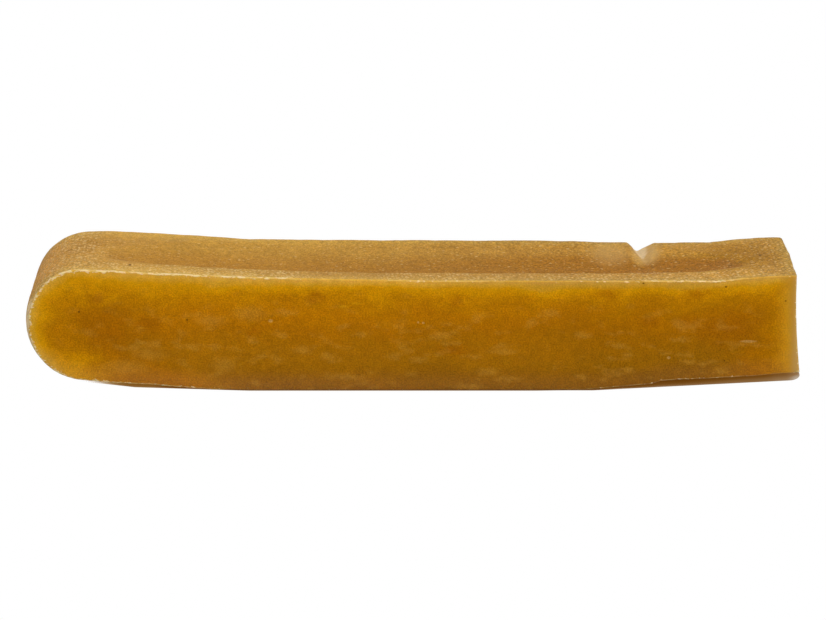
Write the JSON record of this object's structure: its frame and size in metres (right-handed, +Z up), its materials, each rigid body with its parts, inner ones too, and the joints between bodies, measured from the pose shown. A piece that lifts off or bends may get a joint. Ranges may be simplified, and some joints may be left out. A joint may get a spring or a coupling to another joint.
{
  "type": "hard cheese dog chew bar",
  "caption": "Long amber chew bar sawn from a pressed, dried cheese slab: rounded rind end, square sawn end, hollowed top, curled-up ends and a small crack in the back edge.",
  "frame": {"origin": "middle of the overall box in plan, on the flat of the underside", "axes": "+X from the rounded rind end to the sawn end, -Y out of the front sawn face, +Z up from the flat it lies on"},
  "size_m": [0.1492, 0.0276, 0.0242],
  "materials": {
    "dried_cheese": "satin amber sawn faces, matte tan rind with a cloth imprint"
  },
  "bodies": {
    "root": {"chew_bar": "dried_cheese"}
  },
  "joints": []
}
